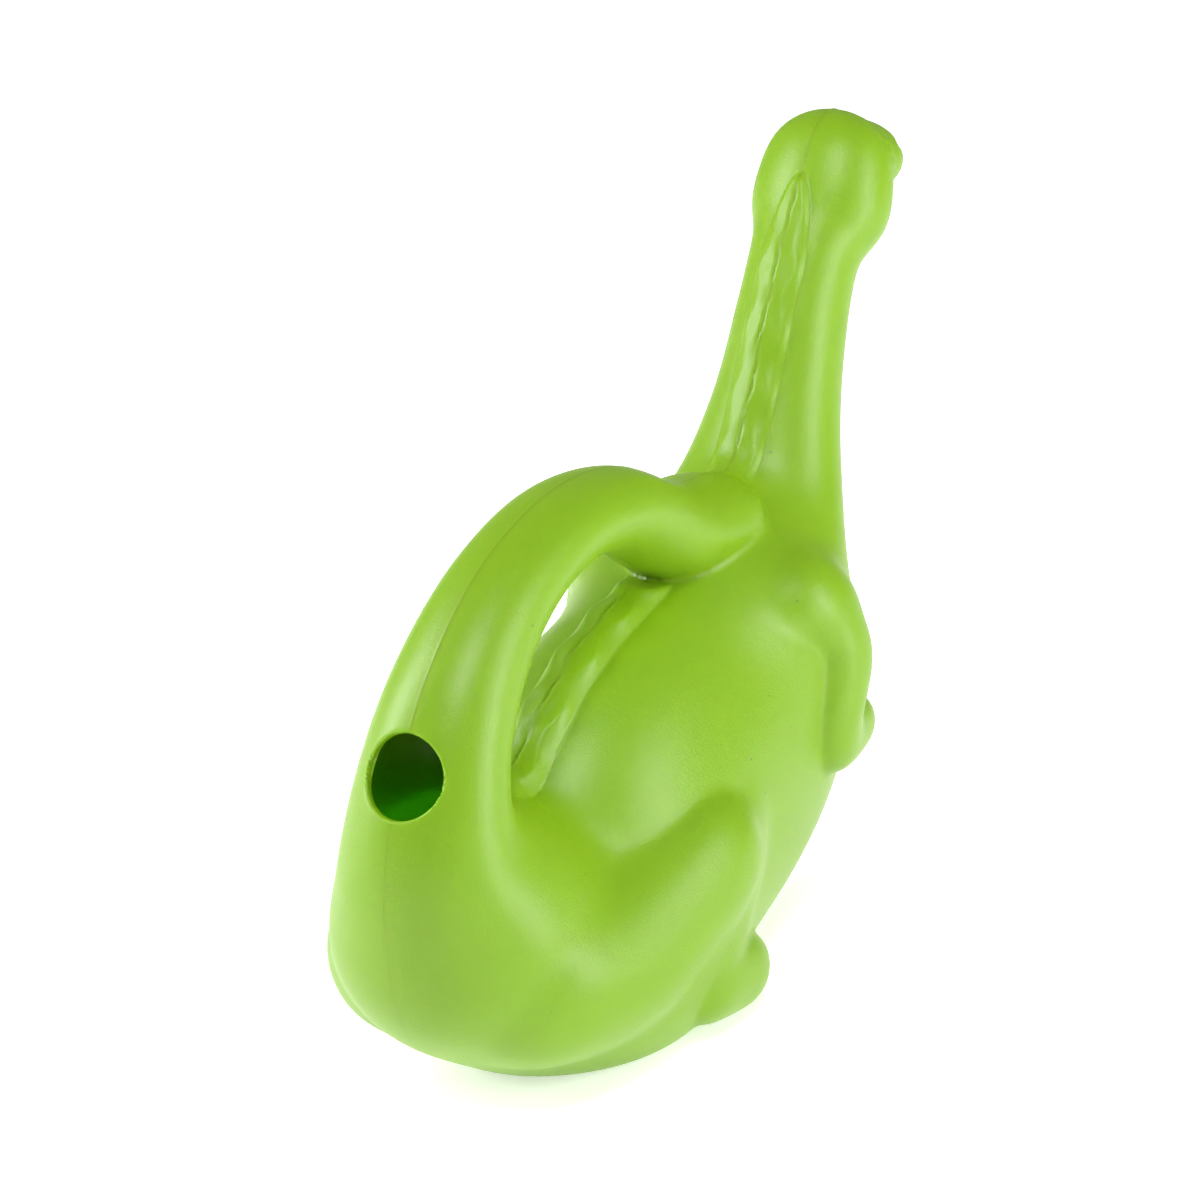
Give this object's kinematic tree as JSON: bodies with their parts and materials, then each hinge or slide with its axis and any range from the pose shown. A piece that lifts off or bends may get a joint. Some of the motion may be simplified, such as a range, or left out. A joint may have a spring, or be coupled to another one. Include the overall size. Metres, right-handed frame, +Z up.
{
  "type": "watering can",
  "caption": "Hollow blow-moulded children's watering can in the shape of a long-necked dinosaur: the looped tail is the handle, the neck is the spout, and the fill hole is at the tail's root.",
  "frame": {"origin": "on the surface the can stands on, in the middle of the flat under the belly", "axes": "+Z up, +X the way the dinosaur looks and pours, +Y its left; the mould's parting plane is y = 0"},
  "size_m": [0.3156, 0.124, 0.2729],
  "materials": {
    "shell_plastic": "satin moulded lime green polyethylene with a fine mould grain",
    "rose_plastic": "satin moulded lime green polyethylene"
  },
  "bodies": {
    "root": {"left_shell": "shell_plastic", "right_shell": "shell_plastic", "mouth_rose": "rose_plastic"}
  },
  "joints": []
}
